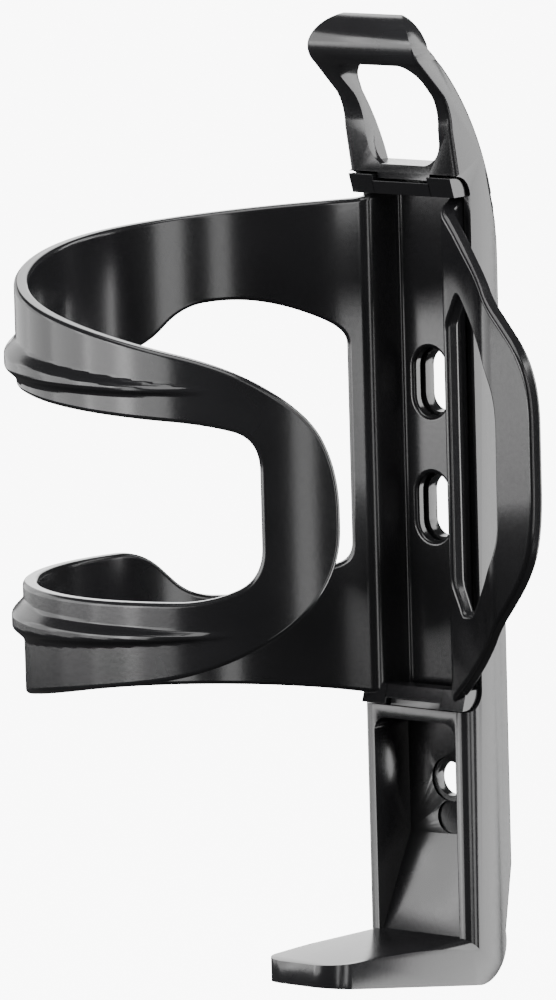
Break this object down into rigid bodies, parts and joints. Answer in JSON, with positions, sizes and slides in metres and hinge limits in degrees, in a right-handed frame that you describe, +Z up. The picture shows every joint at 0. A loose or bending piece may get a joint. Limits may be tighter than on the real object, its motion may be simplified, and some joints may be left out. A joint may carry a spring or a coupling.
{
  "type": "bottle cage",
  "caption": "Side-entry bottle cage: channel backbone with hook and foot shelf, and a clamped C-shaped arm with guide wing.",
  "frame": {"origin": "centre of the lower bolt hole where it meets the mounting face", "axes": "+Z up along the bicycle tube, +Y from the bottle towards the tube, +X to the right seen from the bottle, on the side where the bottle goes in"},
  "size_m": [0.0747, 0.0852, 0.1548],
  "materials": {
    "frame_plastic": "glossy black moulded nylon",
    "arm_plastic": "glossy black moulded nylon"
  },
  "bodies": {
    "backbone": {"back_frame": "frame_plastic"},
    "arm": {"cage_arm": "arm_plastic"}
  },
  "joints": [
    {"name": "arm_lift_off", "type": "slide", "parent": "backbone", "child": "arm", "axis": [0, -1, 0], "range_m": [0, 0.02]}
  ]
}
